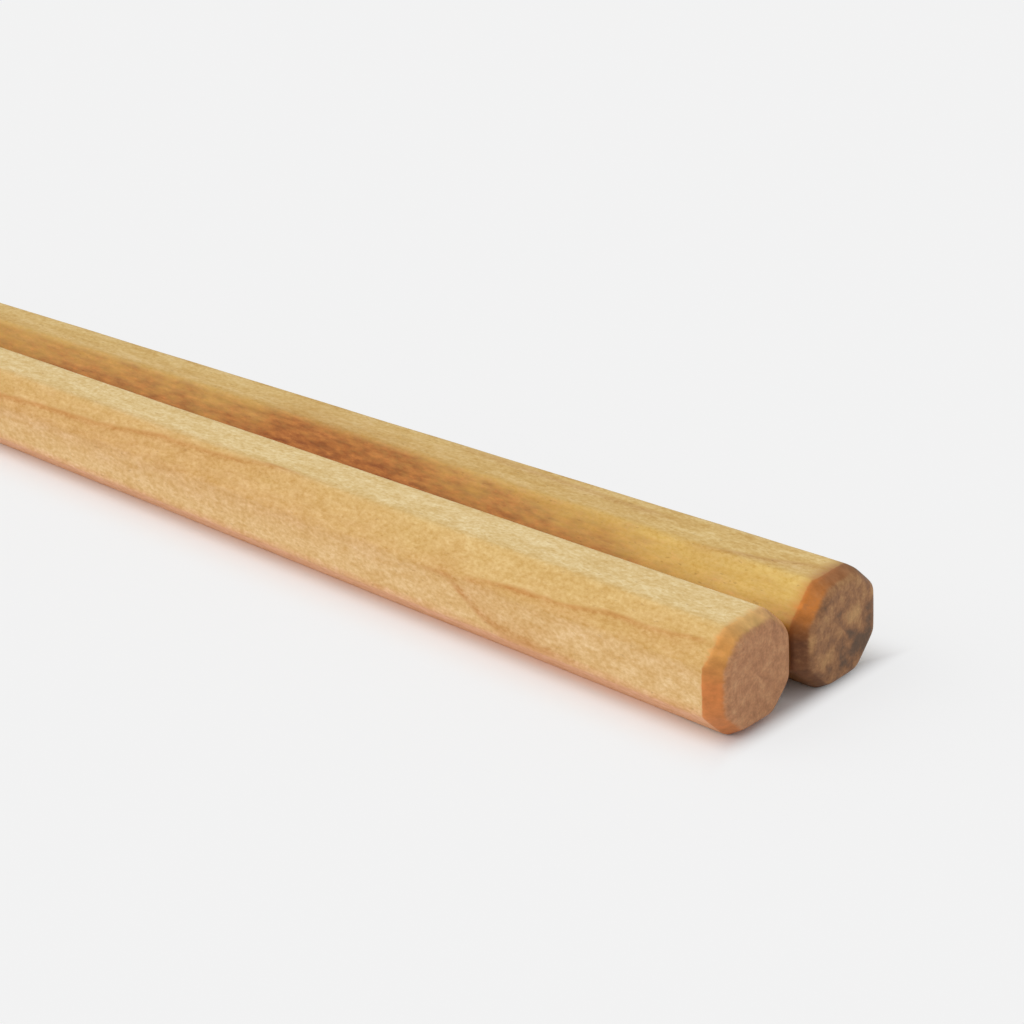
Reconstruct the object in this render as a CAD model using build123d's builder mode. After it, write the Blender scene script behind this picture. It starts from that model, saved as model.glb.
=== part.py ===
from build123d import *
import os
from math import atan, cos, degrees, radians, sqrt

# A pair of wooden chopsticks, lying side by side on a table. Each stick is one piece of wood:
# eight-sided from end to end, each side planed down evenly towards the tip, with a bevel round its
# head and every edge sanded round.
# All sizes are in millimetres. The heads point along +X, the front stick lies on the -Y side and
# +Z is up. The origin is on the table, under the middle of the pair.

# Both sticks
stick_length = 230.0
head_height = 8.0
edge_radius = 0.4

# Front stick: width and cut corners of its head, the bevel round it, and the width left at the tip
front_width = 8.0
front_corner_cut = 2.15
front_bevel_inset = 0.7
front_bevel_length = 1.15
front_tip_width = 2.8

# Rear stick
rear_width = 8.1
rear_corner_cut = 2.35
rear_bevel_inset = 0.7
rear_bevel_length = 1.25
rear_tip_width = 2.4

# How the pair lies: the inner sides are parallel, and the rear head reaches a little further
side_gap = 0.3
rear_lead = 0.5

# Half the difference in width moves the gap off centre, so that the pair as a whole is centred
gap_y = (front_width - rear_width) / 2


def slant(head_size, tip_size):
    """Angle, in degrees, at which one side closes in on the axis from the head to the tip."""
    return degrees(atan((head_size - tip_size) / 2 / stick_length))


def across_corners(width, height, corner_cut):
    """Distance between the two sloping sides that face each other across a section."""
    return (width + height - 2 * corner_cut) / sqrt(2)


def side_plane(head_plane, facing, head_size, tip_size):
    """Plane of one long side, facing is its angle round the axis and the sizes are across the stick."""
    outward = head_plane.x_dir.rotate(Axis((0, 0, 0), head_plane.z_dir), facing)
    on_side = head_plane.origin + outward * head_size / 2
    return Plane(on_side, z_dir=outward * stick_length - head_plane.z_dir * (head_size - tip_size) / 2)


def chopstick(side, width, corner_cut, bevel_inset, bevel_length, tip_width):
    """One stick, from its bevelled head to its blunt tip. side is -1 in front and +1 at the rear."""
    # The axis slopes down to the tip by the slant of one side, which lays the lower side flat on the
    # table, and it turns by as much as its width closes in, which makes the inner side run along X
    height_slant = slant(head_height, tip_width)
    width_slant = slant(width, tip_width)
    head_x = (stick_length + side * rear_lead) / 2
    head_y = gap_y + side * (side_gap + width) / 2
    head_z = head_height / 2 * cos(radians(height_slant))
    turns = (0, -height_slant, side * width_slant)
    lie = Location((head_x, head_y, head_z), turns, Extrinsic.XYZ)
    head_plane = Plane(lie * Plane.YZ.location)
    axis = Axis(head_plane.origin, head_plane.z_dir)

    # Sizes across the stick at the head and at the tip, whose corners are cut in the same proportion
    flanks = (width, tip_width)
    top_and_bottom = (head_height, tip_width)
    slopes = (
        across_corners(width, head_height, corner_cut),
        across_corners(tip_width, tip_width, corner_cut * tip_width / width),
    )
    with BuildPart() as stick:
        # A round bar, planed on eight sides from the head down to the tip
        with BuildSketch(head_plane):
            Circle((width + head_height) / 2)
        extrude(amount=-stick_length)
        for eighth, (head_size, tip_size) in enumerate([flanks, slopes, top_and_bottom, slopes] * 2):
            side_cut = side_plane(head_plane, eighth * 45, head_size, tip_size)
            split(bisect_by=side_cut, keep=Keep.BOTTOM)

        head_face = stick.faces().sort_by(axis)[-1]
        chamfer(head_face.edges(), bevel_inset, bevel_length, reference=head_face)

        fillet(stick.edges(), edge_radius)
    return stick


front_chopstick = chopstick(
    side=-1,
    width=front_width,
    corner_cut=front_corner_cut,
    bevel_inset=front_bevel_inset,
    bevel_length=front_bevel_length,
    tip_width=front_tip_width,
)
front_chopstick.part.label = "front_chopstick"

rear_chopstick = chopstick(
    side=1,
    width=rear_width,
    corner_cut=rear_corner_cut,
    bevel_inset=rear_bevel_inset,
    bevel_length=rear_bevel_length,
    tip_width=rear_tip_width,
)
rear_chopstick.part.label = "rear_chopstick"

os.makedirs("parts", exist_ok=True)
export_step(front_chopstick.part, "parts/front_chopstick.step")
export_step(rear_chopstick.part, "parts/rear_chopstick.step")
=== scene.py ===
import bpy
import numpy as np
from math import atan, cos, pi, radians
from mathutils import Euler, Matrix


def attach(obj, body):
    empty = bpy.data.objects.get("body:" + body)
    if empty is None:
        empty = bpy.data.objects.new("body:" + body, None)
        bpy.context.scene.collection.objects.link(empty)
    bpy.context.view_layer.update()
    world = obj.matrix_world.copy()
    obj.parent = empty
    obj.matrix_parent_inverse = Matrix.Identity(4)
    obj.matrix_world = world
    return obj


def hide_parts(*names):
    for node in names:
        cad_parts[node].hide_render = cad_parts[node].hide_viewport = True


# A pair of wooden chopsticks on a pale floor, seen from their heads.
# Sizes are in mm until a mesh is laid in the part's frame, which is in metres.

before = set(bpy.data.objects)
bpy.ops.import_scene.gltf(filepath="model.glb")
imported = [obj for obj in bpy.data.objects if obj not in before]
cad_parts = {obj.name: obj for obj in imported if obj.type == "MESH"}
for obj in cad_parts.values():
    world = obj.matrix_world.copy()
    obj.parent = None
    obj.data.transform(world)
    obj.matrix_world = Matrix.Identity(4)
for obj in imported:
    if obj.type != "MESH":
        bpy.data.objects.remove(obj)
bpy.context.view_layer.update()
mm = 0.001  # metres

pair = {
    "length": 230.0,
    "headHeight": 8.0,
    "gap": 0.3,  # between the inner sides
    "rearLead": 0.5,  # how much further the rear head reaches
}


def linear(hexColour):
    # sRGB hex to the linear RGBA that Blender's sockets take
    channels = np.array([int(hexColour[i:i + 2], 16) for i in (1, 3, 5)]) / 255
    low = channels / 12.92
    high = ((channels + 0.055) / 1.055) ** 2.4
    return (*np.where(channels <= 0.04045, low, high), 1.0)


def addNode(tree, kind, settings=None, links=None):
    # adds a node and gives its first output in use: settings hold its properties, its input values
    # and the stops of a ramp from 0 to 1, links its joined inputs, all by name or place
    node = tree.nodes.new("ShaderNode" + kind)
    values = dict(settings or {})
    endStops = {0: 0, 1: -1}  # a new ramp has a stop at each end
    for place, value in values.pop("stops", []):
        stops = node.color_ramp.elements
        stop = stops[endStops[place]] if place in endStops else stops.new(place)
        stop.color = value if np.ndim(value) else (value, value, value, 1.0)
    for name in [name for name in values if hasattr(node, str(name))]:
        setattr(node, name, values.pop(name))
    sockets = dict(enumerate(node.inputs))
    for socket in node.inputs:
        if socket.enabled:
            sockets.setdefault(socket.name, socket)
    for name, value in values.items():
        sockets[name].default_value = value
    for name, output in (links or {}).items():
        tree.links.new(output, sockets[name])
    return next((output for output in node.outputs if output.enabled), None)


# How a stick lies

def slants(stick):
    # angles at which the upper and lower sides, and the inner and outer ones, close in on the axis
    upright = atan((pair["headHeight"] - stick["tipWidth"]) / 2 / pair["length"])
    level = atan((stick["headWidth"] - stick["tipWidth"]) / 2 / pair["length"])
    return upright, level


def headPlace(stick):
    # the middle of the head face: half of the difference in width moves the gap off centre, so that
    # the pair as a whole is centred
    gapMiddle = (frontStick["headWidth"] - rearStick["headWidth"]) / 2
    x = (pair["length"] + stick["side"] * pair["rearLead"]) / 2
    y = gapMiddle + stick["side"] * (pair["gap"] + stick["headWidth"]) / 2
    z = pair["headHeight"] / 2 * cos(slants(stick)[0])
    return np.array([x, y, z])


def headTurn(stick):
    # the axis slopes down to the tip until the lower side is level, and turns until the inner side
    # runs along X
    upright, level = slants(stick)
    return (0.0, -upright, stick["side"] * level)


# The body of a stick: eight sides, each with its own distance from the axis

eighthTurn = pi / 4
sideAngles = np.arange(8) * eighthTurn  # side 0 faces +Y, side 2 up, side 4 -Y, side 6 down
sideNormals = np.c_[np.cos(sideAngles), np.sin(sideAngles)]
sideTangents = np.c_[-np.sin(sideAngles), np.cos(sideAngles)]
restingSide = 6

grid = {
    "bevelStep": 0.06,  # between rings at the head
    "bevelEnd": 2.4,  # depth at which the wider steps of the body begin
    "bodyStep": 0.4,
    "arcRings": 8,  # round the rim and round the edge of the tip
    "capRings": 14,  # from the edge of an end face to its middle
    "innerRing": 0.04,  # size of the last of them, as a share of the face
    # where the points lie across a side, closer together at its edges
    "acrossSide": (0, 0.02, 0.045, 0.08, 0.14, 0.3, 0.5, 0.7, 0.86, 0.92, 0.955, 0.98),
    "roundness": 8.41,  # turns a corner's distance over its radius into the power of the section
}


def sideDistances(stick, depth):
    # half of what lies between opposite sides, at each depth below the head face: it closes in
    # evenly from the head to the tip, and the cut corners stay in proportion
    share = depth / pair["length"]
    width = stick["headWidth"] + (stick["tipWidth"] - stick["headWidth"]) * share
    height = pair["headHeight"] + (stick["tipWidth"] - pair["headHeight"]) * share
    corner = stick["cornerCut"] * width / stick["headWidth"]
    slope = (width + height - 2 * corner) / 2 / np.sqrt(2)
    return np.stack([width / 2, slope, height / 2, slope] * 2, axis=1)


def handWork(stick, depth):
    # what a hand with a plane and sandpaper leaves: the mean of three long sine waves on each side,
    # lowered until it only takes wood off, and nothing on the side that the stick rests on
    rng = np.random.default_rng(stick["seed"])
    lengths = rng.uniform(*stick["waveLengths"], (8, 3))
    phases = rng.uniform(0, 2 * pi, (8, 3))
    waves = np.sin(2 * pi * depth[:, None, None] / lengths + phases).sum(axis=2) / 3
    waves[:, restingSide] = 1.0
    return (waves - 1) * stick["waveHeight"]


def stickProfile(stick):
    # depth, inset of each side and scale of every ring, from the middle of the head face over the
    # rounded rim, the straight bevel and its rounded foot to the tip and the middle of its face
    inset, run, rim = stick["bevelInset"], stick["bevelLength"], stick["rimRadius"]
    lean = np.arctan2(run, inset)
    shares = np.array(stick["bevelShares"])
    arc = np.linspace(0, lean, grid["arcRings"])
    rimDepth = rim * (1 - np.cos(arc))
    rimInset = shares * inset + rim * (np.tan(lean / 2) - np.sin(arc))[:, None]

    tipStart = pair["length"] - stick["tipRadius"]
    bodyDepth = np.r_[
        np.arange(rimDepth[-1] + grid["bevelStep"], grid["bevelEnd"], grid["bevelStep"]),
        np.arange(grid["bevelEnd"], tipStart, grid["bodyStep"]),
    ]
    foot, footTurn = stick["footRadius"], pi / 2 - lean
    past = bodyDepth[:, None] - shares * run
    back = np.clip(foot * np.tan(footTurn / 2) - past, 0, foot)
    footInset = foot - np.sqrt(foot ** 2 - back ** 2)
    bodyInset = np.where(back < foot * np.sin(footTurn), footInset, -past * inset / run)

    quarter = np.linspace(0, pi / 2, grid["arcRings"])
    tipDepth = tipStart + stick["tipRadius"] * np.sin(quarter)
    tipInset = np.tile(stick["tipRadius"] * (1 - np.cos(quarter))[:, None], 8)

    shrink = np.linspace(1, grid["innerRing"], grid["capRings"])[1:]
    headDepth, endDepth = np.zeros(len(shrink)), np.full(len(shrink), pair["length"])
    headInset, endInset = (np.tile(ring, (len(shrink), 1)) for ring in (rimInset[0], tipInset[-1]))
    depth = np.r_[headDepth, rimDepth, bodyDepth, tipDepth, endDepth]
    insets = np.vstack([headInset, rimInset, bodyInset, tipInset, endInset])
    scale = np.r_[shrink[::-1], np.ones(len(depth) - 2 * len(shrink)), shrink]
    return depth, insets, scale


def stickRings(stick):
    # each ring is a soft octagon: points on the sharp octagon, divided by the root of the summed
    # high powers of their shares of the eight side distances, which rounds the edges and leaves the
    # sides flat. The sides that face away count for next to nothing
    depth, insets, scale = stickProfile(stick)
    distances = sideDistances(stick, depth) + handWork(stick, depth) - insets
    along = np.array(grid["acrossSide"])
    after = (np.roll(distances, -1, axis=1) - distances * np.cos(eighthTurn)) / np.sin(eighthTurn)
    before = (distances * np.cos(eighthTurn) - np.roll(distances, 1, axis=1)) / np.sin(eighthTurn)
    across = before[..., None] + (after - before)[..., None] * along
    sharp = distances[..., None, None] * sideNormals[:, None] + across[..., None] * sideTangents[:, None]
    sharp = sharp.reshape(len(depth), -1, 2)
    fromAxis = np.linalg.norm(sharp, axis=2)

    # the edges are rounder at the head, and worn a little unevenly: a sine wave on each
    rng = np.random.default_rng(stick["seed"] + 1)
    lengths, phases = rng.uniform(*stick["wearLengths"], 8), rng.uniform(0, 2 * pi, 8)
    wear = 1 + stick["wearChange"] * np.sin(2 * pi * depth[:, None] / lengths + phases)
    nearHead = np.exp(-(depth[:, None] / stick["headWear"]) ** 2)
    edge = stick["edgeRadius"] * wear * (1 - nearHead) + stick["headRadius"] * nearHead
    power = grid["roundness"] * fromAxis / np.repeat(edge, len(along), axis=1)
    shares = np.maximum(sharp @ sideNormals.T / distances[:, None], 1e-6)
    gauge = (shares ** power[..., None]).sum(axis=2) ** (1 / power)

    # a side falls off from its middle with the square of the way to its edges
    crown = stick["crown"] * (2 * np.abs(np.tile(along, 8) - 0.5)) ** 2 / fromAxis
    return depth, sharp * ((1 / gauge - crown) * scale[:, None])[..., None]


def closedSurface(depth, sections):
    # rings joined by quads, and a fan of triangles from each end ring to a pole on the axis
    rings, columns = sections.shape[:2]
    points = np.dstack([np.repeat(-depth[:, None], columns, axis=1), sections]).reshape(-1, 3)
    points = np.vstack([points, [-depth[0], 0, 0], [-depth[-1], 0, 0]])
    headPole, tipPole = rings * columns, rings * columns + 1
    column = np.arange(columns)
    nextColumn = (column + 1) % columns
    ringStart = np.arange(rings - 1)[:, None] * columns
    here, beside = (ringStart + column).ravel(), (ringStart + nextColumn).ravel()
    quads = np.c_[here, here + columns, beside + columns, beside]
    headFan = np.c_[np.full(columns, headPole), column, nextColumn]
    lastRing = (rings - 1) * columns
    tipFan = np.c_[np.full(columns, tipPole), lastRing + nextColumn, lastRing + column]
    return points, quads.tolist() + headFan.tolist() + tipFan.tolist()


def makeStick(stick):
    # the rings turned and moved to where the solid lies, as one smooth mesh
    points, faces = closedSurface(*stickRings(stick))
    turn = np.array(Euler(headTurn(stick)).to_matrix())
    placed = (points @ turn.T + headPlace(stick)) * mm
    mesh = bpy.data.meshes.new(stick["piece"])
    mesh.from_pydata(placed, [], faces)
    mesh.polygons.foreach_set("use_smooth", np.ones(len(faces), dtype=bool))
    mesh.update()

    # how far the surface is turned to the end of the wood: 0 on the sides, 1 on the end faces
    normals = np.empty(len(placed) * 3)
    mesh.vertices.foreach_get("normal", normals)
    endGrain = np.abs(normals.reshape(-1, 3) @ turn[:, 0])
    mesh.attributes.new("endGrain", "FLOAT", "POINT").data.foreach_set("value", endGrain)

    mesh.materials.append(sandedHardwood(stick))
    piece = bpy.data.objects.new(stick["piece"], mesh)
    bpy.context.collection.objects.link(piece)
    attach(piece, "root")
    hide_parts(stick["node"])
    print("made", stick["piece"], "with", len(faces), "faces")


# The wood, in layers: each takes the colour below it and gives the one with its own mark on it

hardwood = {
    "noiseRange": (0.3, 0.7),  # where most of a noise's values lie
    "noiseRoughness": 0.6,
    "sideHold": 0.046,  # share of a turn, each way from a side's middle, over which its tone holds
    "bevelHold": 0.02,
    "heartAndGrooveShadeSpan": 8.0,  # mm, the furthest that heartwood, and the painted groove shade with it, can come out towards its side
    "fleckRange": (0.32, 0.68),
    "lineSpan": 4.0,  # mm across a side, over which a growth line can run
    "lineBendRange": (0.25, 0.75),
    "lineFade": (0.4, 1.3),  # strength of a growth line from dark fibres to light ones
    "poreRange": (0.66, 0.8),
    "swing": (0.6, 1.0, 1.9),  # how far red, green and blue go with a shade: darker wood is warmer
    "edgeFray": {"grain": 0.25, "mottle": 0.35},  # how much the noises fray the bevel and end grain
    "bevelShade": (0.8, 1.2),
    "endShade": (0.9, 1.1),
    "patchFade": (1.3, 0.2),  # where a stained place begins, and has all its strength, in its radii
    "poreDepth": 0.3,  # of the grain's relief
    "bumpStrength": 0.2,
    "bumpHeight": 0.05,  # mm
    "roughness": (0.46, 0.58),
    "ior": 1.5,
    "specular": 0.15,
}


def toneRound(tree, spot, tones, hold):
    # colour or strength round the stick: each side's own holds over its middle and turns to the
    # next one over the edge between them
    stops = [(0, tones[0]), (1, tones[0]), (hold, tones[0]), (1 - hold, tones[0])]
    for side in range(1, 8):
        stops += [(side / 8 - hold, tones[side]), (side / 8 + hold, tones[side])]
    return addNode(tree, "ValToRGB", {"stops": stops}, {"Fac": spot["turnShare"]})


def pathStops(line):
    # a line on a side as ramp stops by share of the length: the grey is the height across the side
    # as a share of the span, with the side's middle at 0.5, and the alpha, which is 0 off the line's
    # ends, its strength
    depth, height = np.array(line["path"]).T
    depth = np.r_[depth[0] - line["fade"], depth, depth[-1] + line["fade"]] / pair["length"]
    height = np.r_[height[0], height, height[-1]] / hardwood["lineSpan"] + 0.5
    strength = np.r_[0, np.full(len(depth) - 2, line["strength"]), 0]
    stops = [(0, (height[0],) * 3 + (0,)), (1, (height[-1],) * 3 + (0,))]
    return stops + [(depth[i], (height[i],) * 3 + (strength[i],)) for i in range(len(depth))]


def woodSpot(tree, stick):
    # where a point lies in the wood, as outputs: place in mm from the head face with x along the
    # stick, lengthShare from 0 at the head to 1 at the tip, turnShare once round from side 0, how
    # far the surface is turned to the end of the wood, and the stick's noises there
    wood = stick["wood"]
    place = addNode(tree, "Mapping", {
        "vector_type": "TEXTURE",
        "Location": headPlace(stick) * mm,
        "Rotation": headTurn(stick),
        "Scale": (mm, mm, mm),
    }, {"Vector": addNode(tree, "TexCoord").node.outputs["Object"]})
    parts = addNode(tree, "SeparateXYZ", {}, {0: place}).node.outputs
    spot = {
        "place": place,
        "x": parts["X"],
        "lengthShare": addNode(tree, "Math", {"operation": "DIVIDE", 1: -pair["length"]}, {0: parts["X"]}),
        "endGrain": addNode(tree, "Attribute", {"attribute_name": "endGrain"}).node.outputs["Fac"],
    }
    for name, cell in wood["noises"].items():
        size = (cell["long"], cell["wide"], cell["wide"])
        stretched = addNode(tree, "VectorMath", {"operation": "DIVIDE", 1: size}, {0: place})
        spot[name] = addNode(tree, "TexNoise", {
            "Scale": 1.0,
            "Detail": cell["detail"],
            "Roughness": hardwood["noiseRoughness"],
        }, {"Vector": stretched})

    wander = wood["toneWander"]
    turn = addNode(tree, "Math", {"operation": "ARCTAN2"}, {0: parts["Z"], 1: parts["Y"]})
    turn = addNode(tree, "Math", {"operation": "MULTIPLY_ADD", 1: 0.5 / pi, 2: 1 - wander / 2}, {0: turn})
    turn = addNode(tree, "Math", {"operation": "MULTIPLY_ADD", 1: wander}, {0: spot["fibre"], 2: turn})
    spot["turnShare"] = addNode(tree, "Math", {"operation": "FRACT"}, {0: turn})
    return spot


def addHeartwoodAndGrooveShade(tree, wood, spot, colour):
    # flecked dark and light: it shows where the depth below the sapwood, which changes along the stick and
    # wanders with the noises, passes the edge. On the rear stick it is partly painted shade: it comes out
    # furthest on the sides that face the front stick and darkens side 3 towards the groove between them
    span = hardwood["heartAndGrooveShadeSpan"]
    stops = [(depth / pair["length"], reach / span) for depth, reach in wood["heartAndGrooveShadeReach"]]
    reach = addNode(tree, "ValToRGB", {"stops": stops}, {"Fac": spot["lengthShare"]})
    inward = addNode(tree, "VectorMath", {"operation": "DOT_PRODUCT", 1: wood["heartAndGrooveShadeSide"]},
                     {0: spot["place"]}).node.outputs["Value"]
    heartAndGrooveShade = addNode(tree, "Math", {"operation": "MULTIPLY_ADD", 1: span}, {0: reach, 2: inward})
    for name, wander in wood["heartAndGrooveShadeWander"].items():
        heartAndGrooveShade = addNode(tree, "Math", {"operation": "MULTIPLY_ADD", 1: wander}, {0: spot[name], 2: heartAndGrooveShade})
    low, high = wood["heartAndGrooveShadeEdge"]
    share = addNode(tree, "MapRange", {"interpolation_type": "SMOOTHSTEP", 1: low, 2: high}, {0: heartAndGrooveShade})
    strength = toneRound(tree, spot, wood["heartAndGrooveShadeStrength"], hardwood["sideHold"])
    share = addNode(tree, "Math", {"operation": "MULTIPLY"}, {0: share, 1: strength})

    low, high = hardwood["fleckRange"]
    fleck = addNode(tree, "MapRange", {1: low, 2: high}, {0: spot["fleck"]})
    dark, light = (linear(tone) for tone in wood["heartAndGrooveShade"])
    flecked = addNode(tree, "Mix", {"data_type": "RGBA", "A": dark, "B": light}, {"Factor": fleck})
    return addNode(tree, "Mix", {"data_type": "RGBA"}, {"Factor": share, "A": colour, "B": flecked})


def addGrowthLines(tree, wood, spot, colour):
    # where a side cuts the end of a year's wood: the distance from a path across one side, with a
    # line where it passes zero and a warm tone that fades behind it. A small steepness makes the
    # line broad, and its sign tells on which side the tone lies
    bend, fray = wood["lineBend"], wood["lineFray"]
    low, high = hardwood["lineBendRange"]
    bent = addNode(tree, "MapRange", {1: low, 2: high, 3: -bend, 4: bend}, {0: spot["mottle"]})
    bent = addNode(tree, "Math", {"operation": "MULTIPLY_ADD", 1: fray}, {0: spot["grain"], 2: bent})
    bent = addNode(tree, "Math", {"operation": "ADD", 1: 0.5 - fray / 2}, {0: bent})
    share = None
    for line in wood["lines"]:
        across = (0, *(sideTangents[line["side"]] / hardwood["lineSpan"]))
        height = addNode(tree, "VectorMath", {"operation": "DOT_PRODUCT", 1: across},
                         {0: spot["place"]}).node.outputs["Value"]
        height = addNode(tree, "Math", {"operation": "ADD", 1: 0.5}, {0: height})
        path = addNode(tree, "ValToRGB", {"stops": pathStops(line)},
                       {"Fac": spot["lengthShare"]}).node.outputs
        off = addNode(tree, "Math", {"operation": "SUBTRACT"}, {0: height, 1: path["Color"]})
        off = addNode(tree, "Math", {"operation": "MULTIPLY_ADD", 1: line["steep"]}, {0: off, 2: bent})
        drawn = addNode(tree, "ValToRGB", {"stops": wood["lineStops"]}, {"Fac": off})
        drawn = addNode(tree, "Math", {"operation": "MULTIPLY"}, {0: drawn, 1: path["Alpha"]})
        if share:
            drawn = addNode(tree, "Math", {"operation": "MAXIMUM"}, {0: drawn, 1: share})
        share = drawn

    low, high = hardwood["noiseRange"]
    weak, strong = hardwood["lineFade"]
    fade = addNode(tree, "MapRange", {1: low, 2: high, 3: weak, 4: strong}, {0: spot["fibre"]})
    share = addNode(tree, "Math", {"operation": "MULTIPLY"}, {0: share, 1: fade})
    return addNode(tree, "Mix", {"data_type": "RGBA", "B": linear(wood["line"])},
                   {"Factor": share, "A": colour})


def addShades(tree, wood, spot, colour):
    # patches, mottling, fibres and grain, each darker and lighter by its own share
    low, high = hardwood["noiseRange"]
    for name, change in wood["shades"].items():
        swing = change * np.array(hardwood["swing"])
        dark, light = (*(1 - swing), 1.0), (*(1 + swing), 1.0)
        share = addNode(tree, "MapRange", {1: low, 2: high}, {0: spot[name]})
        shade = addNode(tree, "Mix", {"data_type": "RGBA", "A": dark, "B": light}, {"Factor": share})
        colour = addNode(tree, "VectorMath", {"operation": "MULTIPLY"}, {0: colour, 1: shade})
    return colour


def addBevel(tree, wood, spot, colour, ragged):
    # the bevel's tones round the stick, which on the rear stick carry painted shade, and its stain, which
    # creeps unevenly past its foot
    start, end = wood["creepReach"]
    creep = addNode(tree, "MapRange", {1: -start, 2: -end, 3: wood["creep"], 4: 0.0}, {0: spot["x"]})
    crept = addNode(tree, "Math", {"operation": "ADD"}, {0: ragged, 1: creep})
    low, high = wood["bevelEdge"]
    share = addNode(tree, "MapRange", {"interpolation_type": "SMOOTHSTEP", 1: low, 2: high}, {0: crept})
    tones = [linear(tone) for tone in wood["bevelTones"]]
    bevel = toneRound(tree, spot, tones, hardwood["bevelHold"])
    low, high = hardwood["noiseRange"]
    dark, light = hardwood["bevelShade"]
    shade = addNode(tree, "MapRange", {1: low, 2: high, 3: dark, 4: light}, {0: spot["mottle"]})
    bevel = addNode(tree, "VectorMath", {"operation": "SCALE"}, {0: bevel, "Scale": shade})
    return addNode(tree, "Mix", {"data_type": "RGBA"}, {"Factor": share, "A": colour, "B": bevel})


def addCutEnd(tree, wood, spot, colour, ragged):
    # the end grain: stained places push a noise up to its light tones or down to its dark ones
    stain = spot["stain"]
    outside, inside = hardwood["patchFade"]
    for patch in wood["patches"]:
        away = addNode(tree, "Mapping", {
            "vector_type": "TEXTURE",
            "Location": patch["centre"],
            "Rotation": (radians(patch["turn"]), 0, 0),
            "Scale": patch["radii"],
        }, {"Vector": spot["place"]})
        away = addNode(tree, "VectorMath", {"operation": "LENGTH"}, {0: away}).node.outputs["Value"]
        push = addNode(tree, "MapRange", {
            "interpolation_type": "SMOOTHSTEP", 1: outside, 2: inside, 4: patch["push"],
        }, {0: away})
        stain = addNode(tree, "Math", {"operation": "ADD"}, {0: stain, 1: push})
    stops = [(share, linear(tone)) for share, tone in wood["endStops"]]
    end = addNode(tree, "ValToRGB", {"stops": stops}, {"Fac": stain})
    low, high = hardwood["noiseRange"]
    dark, light = hardwood["endShade"]
    shade = addNode(tree, "MapRange", {1: low, 2: high, 3: dark, 4: light}, {0: spot["pore"]})
    end = addNode(tree, "VectorMath", {"operation": "SCALE"}, {0: end, "Scale": shade})
    low, high = wood["endEdge"]
    share = addNode(tree, "MapRange", {"interpolation_type": "SMOOTHSTEP", 1: low, 2: high}, {0: ragged})
    return addNode(tree, "Mix", {"data_type": "RGBA"}, {"Factor": share, "A": colour, "B": end})


def sandedHardwood(stick):
    # bare hardwood, planed and sanded by hand: pale sides with growth layers that they cut at a
    # slant, soft fibres along the stick, a fine grain of tiny pores that keeps the sheen dull, and
    # redder, darker end grain where the head is cut
    wood = stick["wood"]
    material = bpy.data.materials.new(wood["name"])
    material.use_nodes = True
    tree = material.node_tree
    tree.nodes.clear()
    spot = woodSpot(tree, stick)

    sideTones = [linear(tone) for tone in wood["sideTones"]]
    colour = toneRound(tree, spot, sideTones, hardwood["sideHold"])
    # heartwood, which on the rear stick is partly painted shade of the groove
    colour = addHeartwoodAndGrooveShade(tree, wood, spot, colour)
    colour = addGrowthLines(tree, wood, spot, colour)
    colour = addShades(tree, wood, spot, colour)

    low, high = hardwood["poreRange"]
    pores = addNode(tree, "MapRange", {"interpolation_type": "SMOOTHSTEP", 1: low, 2: high},
                    {0: spot["pore"]})
    share = addNode(tree, "Math", {"operation": "MULTIPLY", 1: wood["poreStrength"]}, {0: pores})
    colour = addNode(tree, "Mix", {"data_type": "RGBA", "B": linear(wood["pore"])},
                     {"Factor": share, "A": colour})

    ragged = spot["endGrain"]
    for name, fray in hardwood["edgeFray"].items():
        ragged = addNode(tree, "Math", {"operation": "MULTIPLY_ADD", 1: fray}, {0: spot[name], 2: ragged})
    colour = addBevel(tree, wood, spot, colour, ragged)
    colour = addCutEnd(tree, wood, spot, colour, ragged)

    # pores are sunk below the grain, and the dull sheen changes with it
    relief = addNode(tree, "Math", {"operation": "MULTIPLY_ADD", 1: -hardwood["poreDepth"]},
                     {0: pores, 2: spot["grain"]})
    bump = addNode(tree, "Bump", {
        "Strength": hardwood["bumpStrength"],
        "Distance": hardwood["bumpHeight"] * mm,
    }, {"Height": relief})
    low, high = hardwood["noiseRange"]
    smooth, rough = hardwood["roughness"]
    dull = addNode(tree, "MapRange", {1: low, 2: high, 3: smooth, 4: rough}, {0: spot["grain"]})
    shader = addNode(tree, "BsdfPrincipled", {
        "IOR": hardwood["ior"],
        "Specular IOR Level": hardwood["specular"],
    }, {"Base Color": colour, "Normal": bump, "Roughness": dull})
    addNode(tree, "OutputMaterial", {}, {"Surface": shader})
    return material


# The two sticks: sizes are in mm, and tuples of eight go round the sides from side 0

# russet, the front stick's tone for its lower slant, is lighter and redder than its wood: painted bounce
# light from the floor
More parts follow.
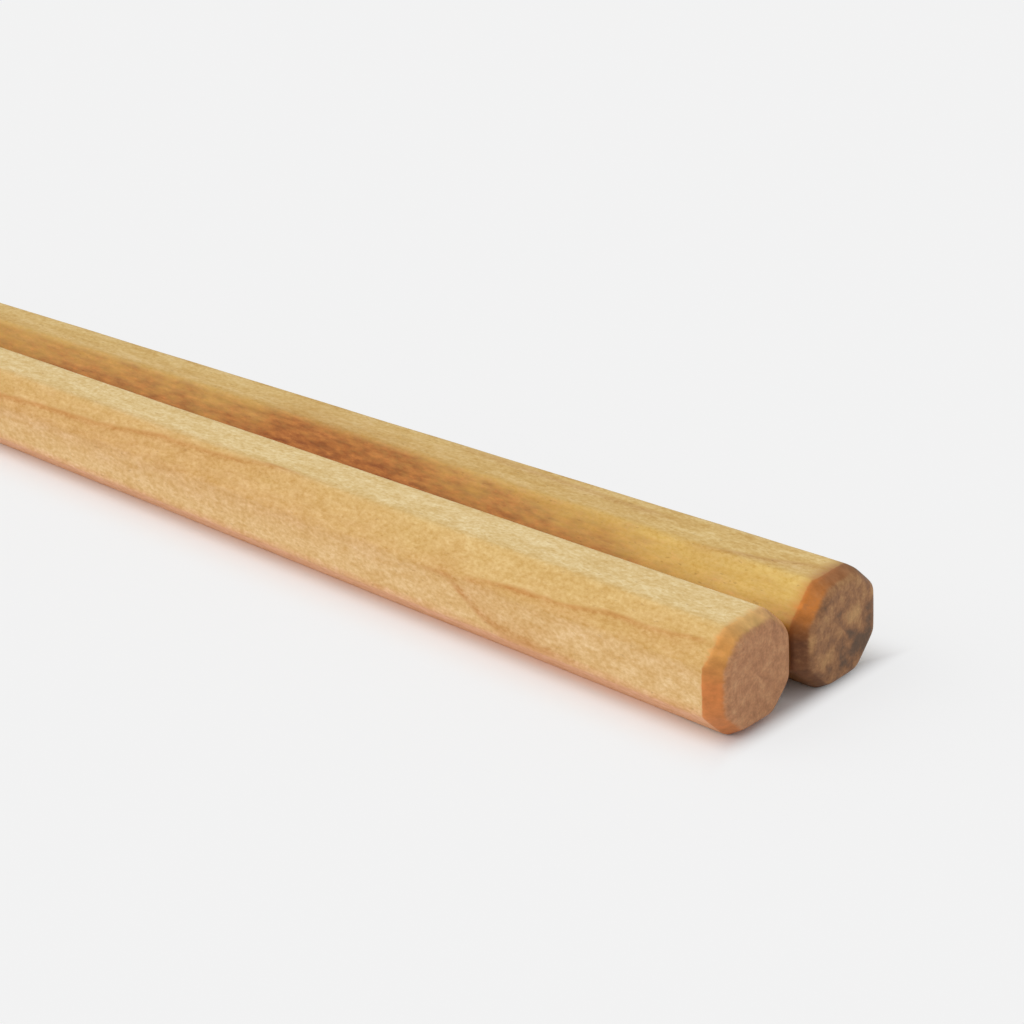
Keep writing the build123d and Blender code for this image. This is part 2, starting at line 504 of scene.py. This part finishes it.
cream, honey, biscuit, paintedBounceRusset = "#e5c88e", "#d7b16e", "#deb77e", "#e0a97e"
frontStick = {
    "piece": "front_stick", "node": "front_chopstick", "slot": "pale_wood",
    "side": -1,  # of the pair, along Y
    "headWidth": 8.0, "cornerCut": 2.15, "tipWidth": 2.8,
    "bevelInset": 0.7, "bevelLength": 1.15,
    "bevelShares": (1.0, 0.85, 0.8, 0.95, 1.15, 1.1, 1.0, 1.0),  # of the bevel's inset and length
    "rimRadius": 0.75, "footRadius": 0.6, "tipRadius": 0.35,
    "edgeRadius": 0.6, "headRadius": 1.2,  # of the long edges, along the body and at the head
    "headWear": 1.6,  # depth to which the head's edges are rounder
    "wearChange": 0.2, "wearLengths": (8, 30),  # share of the radius, and lengths of its waves
    "waveHeight": 0.02, "waveLengths": (18, 60),
    "crown": 0.012,  # how far a side falls off to its edges
    "seed": 4,
    "wood": {
        "name": "sandedPaleHardwood",
        # side 5 takes russet, with its painted bounce light
        "sideTones": (biscuit, cream, cream, honey, biscuit, paintedBounceRusset, biscuit, biscuit),
        "toneWander": 0.03,  # of a turn
        "bevelTones": ("#d6a27c", "#d8a474", "#dcaf6d", "#d4954f",
                       "#cf8046", "#cb814c", "#c0825a", "#cc9674"),
        "bevelEdge": (0.42, 0.62),  # of how far the surface is turned to the end, with its fraying
        "creep": 0.36, "creepReach": (0.8, 2.0),  # strength past the bevel, and depths that it spans
        # tones of the end grain, from stained to clean
        "endStops": ((0, "#966647"), (0.36, "#b37f5b"), (0.5, "#c28c64"), (0.64, "#cc986e"),
                     (1, "#dbae82")),
        "endEdge": (0.84, 1.2),
        "patches": (),
        "heartAndGrooveShade": ("#c48c56", "#daa86e"),
        "heartAndGrooveShadeSide": (0.0, -0.85, 0.53),  # the way from the axis to the heartwood
        "heartAndGrooveShadeReach": ((0, 0.0), (23, 0.0), (32, 0.55), (46, 1.0), (92, 1.3), (230, 0.8)),  # by depth
        "heartAndGrooveShadeWander": {"patch": 1.2, "mottle": 0.8},
        "heartAndGrooveShadeEdge": (4.4, 6.6),
        "heartAndGrooveShadeStrength": (0.75,) * 8,
        "line": "#b66a16", "lineBend": 0.02, "lineFray": 0.06,
        # strength across a line, whose path is at 0.5
        "lineStops": ((0, 0.0), (0.43, 0.0), (0.485, 0.9), (0.515, 0.9), (0.57, 0.4), (0.68, 0.2),
                      (0.88, 0.0), (1, 0.0)),
        # each path gives depths and heights across its side, and fade is how far its ends fade
        "lines": (
            {"side": 3, "steep": 1, "strength": 0.55, "fade": 1.5,
             "path": ((2.5, -0.15), (6.4, 0.29), (9.9, 0.23), (13.6, 0.85), (17.6, 0.91), (21.5, 1.3))},
            {"side": 4, "steep": -0.6, "strength": 0.6, "fade": 4.0,
             "path": ((15.4, 1.37), (19.0, 1.22), (20.9, 0.47), (22.5, -0.6), (23.6, -1.5))},
            {"side": 3, "steep": 1, "strength": 0.5, "fade": 5.0,
             "path": ((41.9, -1.38), (47.0, -0.74), (53.1, -0.62), (59.0, 0.13), (64.3, 0.29),
                      (69.7, 0.6), (84.0, 1.2))},
            {"side": 2, "steep": 1, "strength": 0.35, "fade": 12.0,
             "path": ((98.0, -1.1), (120.0, -0.5), (150.0, 0.1), (190.0, 0.3))},
            {"side": 4, "steep": 1, "strength": 0.35, "fade": 12.0,
             "path": ((92.0, 1.2), (125.0, 0.4), (165.0, -0.2), (200.0, -0.5))},
            {"side": 1, "steep": -1, "strength": 0.35, "fade": 10.0,
             "path": ((90.0, -1.0), (110.0, 0.0), (160.0, 0.5))},
        ),
        "pore": "#a9783f", "poreStrength": 0.35,
        "shades": {"patch": 0.06, "mottle": 0.12, "fibre": 0.05, "grain": 0.16},
        # cells of the noises, along and across the stick. Real pores are under 0.1 mm wide, and these
        # are as wide as they need to be to show
        "noises": {
            "patch": {"long": 5.0, "wide": 1.3, "detail": 5.0},
            "mottle": {"long": 1.3, "wide": 0.7, "detail": 4.0},
            "fibre": {"long": 4.0, "wide": 0.5, "detail": 4.0},
            "fleck": {"long": 1.6, "wide": 0.5, "detail": 4.0},
            "grain": {"long": 0.36, "wide": 0.22, "detail": 2.0},
            "pore": {"long": 0.5, "wide": 0.2, "detail": 1.0},
            "stain": {"long": 2.0, "wide": 0.7, "detail": 5.0},
        },
    },
}
rearStick = {
    "piece": "rear_stick", "node": "rear_chopstick", "slot": "amber_wood",
    "side": 1,
    "headWidth": 8.1, "cornerCut": 2.35, "tipWidth": 2.4,
    "bevelInset": 0.7, "bevelLength": 1.25,
    "bevelShares": (0.75, 0.45, 0.8, 1.0, 1.0, 0.95, 0.8, 0.7),
    "rimRadius": 0.7, "footRadius": 0.7, "tipRadius": 0.35,
    "edgeRadius": 0.6, "headRadius": 1.0,
    "headWear": 1.8,
    "wearChange": 0.2, "wearLengths": (8, 30),
    "waveHeight": 0.02, "waveLengths": (18, 60),
    "crown": 0.012,
    "seed": 9,
    "wood": {
        "name": "sandedAmberHardwood",
        # sides 4 and 5, which face the front stick, are darker with painted shade of the groove between
        # the sticks
        "sideTones": ("#d8b475", "#d8b475", "#dab876", "#e0bd6a",
                      "#b88a4c", "#94643a", "#c09a60", "#d8b475"),
        "toneWander": 0.03,
        # the bevels of sides 4 to 7 and 0, between the heads, underneath and on the far side, are dark
        # brown: their stain with painted shade on it
        "bevelTones": ("#5e5044", "#8a6c50", "#a46c42", "#c97c37",
                       "#6e462e", "#80563a", "#6e5744", "#5e5044"),
        "bevelEdge": (0.32, 0.82),
        "creep": 0.44, "creepReach": (0.8, 2.4),
        "endStops": ((0, "#5a4b3e"), (0.28, "#775b46"), (0.42, "#966c4c"), (0.52, "#a97a54"),
                     (0.64, "#bc8e60"), (1, "#d0a46f")),
        "endEdge": (0.7, 1.12),
        "patches": (
            {"centre": (0, 1.4, -1.9), "turn": 0, "radii": (3, 2.4, 1.2), "push": -0.24},
            {"centre": (0, 2.9, -0.5), "turn": 80, "radii": (3, 1.8, 0.9), "push": -0.14},
            {"centre": (0, 0.4, -0.6), "turn": 0, "radii": (3, 0.8, 0.5), "push": -0.16},
            {"centre": (0, 1.0, 0.8), "turn": -20, "radii": (3, 1.2, 0.8), "push": 0.2},
            {"centre": (0, 0.7, 2.6), "turn": 0, "radii": (3, 2.2, 1.0), "push": 0.05},
            {"centre": (0, -1.8, -1.1), "turn": -40, "radii": (3, 1.2, 0.8), "push": 0.08},
        ),
        # heartwood with painted shade of the groove: strongest on sides 3 to 5, which face the front
        # stick, and darker on side 3 towards the groove
        "heartAndGrooveShade": ("#894514", "#be7534"),
        "heartAndGrooveShadeSide": (0.0, -0.966, 0.26),
        "heartAndGrooveShadeReach": ((0, 0.7), (6, 0.4), (11, 0.7), (18, 1.9), (30, 2.5), (35, 3.2), (43, 3.85),
                       (48, 3.95), (51, 3.0), (56, 2.7), (62, 3.0), (92, 2.4), (126, 3.0), (172, 2.0),
                       (230, 2.4)),
        "heartAndGrooveShadeWander": {"patch": 2.0, "mottle": 3.2, "grain": 2.0},
        "heartAndGrooveShadeEdge": (6.1, 10.9),
        "heartAndGrooveShadeStrength": (0.1, 0.1, 0.28, 0.97, 0.97, 0.97, 0.4, 0.1),
        "line": "#a0561c", "lineBend": 0.02, "lineFray": 0.06,
        "lineStops": ((0, 0.0), (0.43, 0.0), (0.49, 0.9), (0.51, 0.9), (0.57, 0.4), (0.68, 0.15),
                      (0.85, 0.0), (1, 0.0)),
        "lines": (
            {"side": 2, "steep": 0.7, "strength": 0.35, "fade": 5.0,
             "path": ((17.3, -0.47), (23.7, -0.73), (30.3, -1.0))},
            {"side": 2, "steep": 0.7, "strength": 0.4, "fade": 2.0,
             "path": ((2.2, -0.19), (6.0, 1.01), (10.5, 1.72))},
            {"side": 2, "steep": -1, "strength": 0.3, "fade": 10.0,
             "path": ((85.0, 0.9), (115.0, 0.3), (150.0, -0.4), (190.0, -0.6))},
            {"side": 3, "steep": 1, "strength": 0.35, "fade": 10.0,
             "path": ((82.0, -0.9), (120.0, 0.0), (160.0, 0.5))},
            {"side": 0, "steep": 1, "strength": 0.35, "fade": 10.0,
             "path": ((12.0, 1.2), (50.0, 0.5), (95.0, -0.1), (150.0, -0.6))},
            {"side": 1, "steep": -1, "strength": 0.35, "fade": 10.0,
             "path": ((20.0, -1.1), (60.0, -0.4), (105.0, 0.1), (180.0, 0.5))},
        ),
        "pore": "#8a5a28", "poreStrength": 0.35,
        "shades": {"patch": 0.08, "mottle": 0.13, "fibre": 0.1, "grain": 0.18},
        "noises": {
            "patch": {"long": 6.0, "wide": 1.2, "detail": 5.0},
            "mottle": {"long": 1.8, "wide": 0.7, "detail": 5.0},
            "fibre": {"long": 4.0, "wide": 0.45, "detail": 4.0},
            "fleck": {"long": 1.4, "wide": 0.4, "detail": 5.0},
            "grain": {"long": 0.36, "wide": 0.22, "detail": 2.0},
            "pore": {"long": 0.5, "wide": 0.2, "detail": 1.0},
            "stain": {"long": 2.0, "wide": 1.0, "detail": 6.0},
        },
    },
}

makeStick(frontStick)
makeStick(rearStick)

# Floor, light and camera

studio = {
    "floorSize": 3.0,  # metres
    "floorColour": "#f8f8f9", "floorRoughness": 0.6, "floorSpecular": 0.2,
    # painted light, seen by the camera only: a glow that lifts the pair's shadow, from none at the pair to
    # full a few mm off it
    "glowColour": "#f3f3f3", "glow": 0.85,
    "glowBeside": (-2.2, 3.4), "glowBeyond": (-1.0, 1.2),  # mm from the pair, none to full
    # a painted warm bounce on the floor beside the long sides, in the colour that the wood throws back
    "paintedBounceColour": "#f1ac8a", "paintedBounce": 0.35,
    "paintedBounceBeside": (-2.3, -1.0), "paintedBounceBeyond": (-9.0, -3.0),  # mm from the pair, full to none
    "worldStrength": 0.58,
    "sunStrength": 1.6, "sunAngle": 60.0, "sunTurn": (48.0, 0.0, -48.0),  # degrees
    "cameraPlace": (250.5, -177.3, 124.2),  # mm
    "cameraTurn": (63.8, 1.74, 41.26),  # degrees
    "lens": 137.6,  # mm
    "nearest": 10.0,  # mm from the camera
}


def brightBoard():
    # white painted board: a dull paint that is lit as anything else is. The camera sees painted light on
    # it: a glow that washes the shadow out towards plain white away from the pair, and a painted warm
    # bounce close to the long sides, in the colour that the wood throws back
    material = bpy.data.materials.new("whitePaintedBoard")
    material.use_nodes = True
    tree = material.node_tree
    tree.nodes.clear()

    # distances in metres from the pair's outline on the floor, which narrows evenly to the tips
    place = addNode(tree, "TexCoord").node.outputs["Object"]
    parts = addNode(tree, "SeparateXYZ", {}, {0: place}).node.outputs
    headHalf = (frontStick["headWidth"] + pair["gap"] + rearStick["headWidth"]) / 2
    tipHalf = (frontStick["tipWidth"] + pair["gap"] + rearStick["tipWidth"]) / 2
    outline = addNode(tree, "Math", {
        "operation": "MULTIPLY_ADD",
        1: (headHalf - tipHalf) / pair["length"],
        2: (headHalf + tipHalf) / 2 * mm,
    }, {0: parts["X"]})
    across = addNode(tree, "Math", {"operation": "ABSOLUTE"}, {0: parts["Y"]})
    beside = addNode(tree, "Math", {"operation": "SUBTRACT"}, {0: across, 1: outline})
    along = addNode(tree, "Math", {"operation": "ABSOLUTE"}, {0: parts["X"]})
    beyond = addNode(tree, "Math", {"operation": "SUBTRACT", 1: pair["length"] / 2 * mm}, {0: along})

    # how far the painted light reaches: the glow that lifts the shadow, and the painted warm bounce
    fades = {}
    for name, away, start, end in (
        ("glowBeside", beside, 0.0, studio["glow"]),
        ("glowBeyond", beyond, 0.0, studio["glow"]),
        ("paintedBounceBeside", beside, studio["paintedBounce"], 0.0),
        ("paintedBounceBeyond", beyond, 1.0, 0.0),
    ):
        near, far = studio[name]
        fades[name] = addNode(tree, "MapRange", {
            "interpolation_type": "SMOOTHSTEP", 1: near * mm, 2: far * mm, 3: start, 4: end,
        }, {0: away})
    paintedBounceShare = addNode(tree, "Math", {"operation": "MULTIPLY"},
                        {0: fades["paintedBounceBeyond"], 1: fades["paintedBounceBeside"]})
    # the glow is painted light that lifts the floor's shadow away from the pair
    glowShare = addNode(tree, "Math", {"operation": "MAXIMUM"},
                        {0: fades["glowBeyond"], 1: fades["glowBeside"]})

    rays = addNode(tree, "LightPath").node.outputs
    seen = rays["Is Camera Ray"]
    for ray in ("Is Glossy Ray", "Is Transmission Ray"):
        seen = addNode(tree, "Math", {"operation": "MAXIMUM"}, {0: seen, 1: rays[ray]})
    board = addNode(tree, "BsdfPrincipled", {
        "Base Color": linear(studio["floorColour"]),
        "Roughness": studio["floorRoughness"],
        "Specular IOR Level": studio["floorSpecular"],
    })
    for share, tone in ((paintedBounceShare, "paintedBounceColour"), (glowShare, "glowColour")):
        light = addNode(tree, "Emission", {"Color": linear(studio[tone]), "Strength": 1.0})
        share = addNode(tree, "Math", {"operation": "MULTIPLY"}, {0: share, 1: seen})
        board = addNode(tree, "MixShader", {}, {0: share, 1: board, 2: light})
    addNode(tree, "OutputMaterial", {}, {"Surface": board})
    return material


def makeFloor():
    # one flat square under the pair
    half = studio["floorSize"] / 2
    corners = [(-half, -half, 0), (half, -half, 0), (half, half, 0), (-half, half, 0)]
    mesh = bpy.data.meshes.new("floor")
    mesh.from_pydata(corners, [], [(0, 1, 2, 3)])
    mesh.materials.append(brightBoard())
    floor = bpy.data.objects.new("floor", mesh)
    bpy.context.collection.objects.link(floor)


def makeLight():
    # white light from all round, and a broad soft lamp like a window
    world = bpy.data.worlds.new("studio")
    world.use_nodes = True
    bpy.context.scene.world = world
    background = world.node_tree.nodes["Background"]
    background.inputs["Color"].default_value = (1, 1, 1, 1)
    background.inputs["Strength"].default_value = studio["worldStrength"]
    sun = bpy.data.lights.new("window", "SUN")
    sun.energy = studio["sunStrength"]
    sun.angle = radians(studio["sunAngle"])
    lamp = bpy.data.objects.new("window", sun)
    lamp.rotation_euler = [radians(turn) for turn in studio["sunTurn"]]
    bpy.context.collection.objects.link(lamp)


def makeCamera():
    # a long lens at the photograph's viewing angle
    lens = bpy.data.cameras.new("camera")
    lens.lens = studio["lens"]
    lens.clip_start = studio["nearest"] * mm
    camera = bpy.data.objects.new("camera", lens)
    camera.location = np.array(studio["cameraPlace"]) * mm
    camera.rotation_euler = [radians(turn) for turn in studio["cameraTurn"]]
    bpy.context.collection.objects.link(camera)
    bpy.context.scene.camera = camera


makeFloor()
makeLight()
makeCamera()
bpy.context.scene.view_settings.view_transform = "Standard"
print("floor, light and camera are in place")
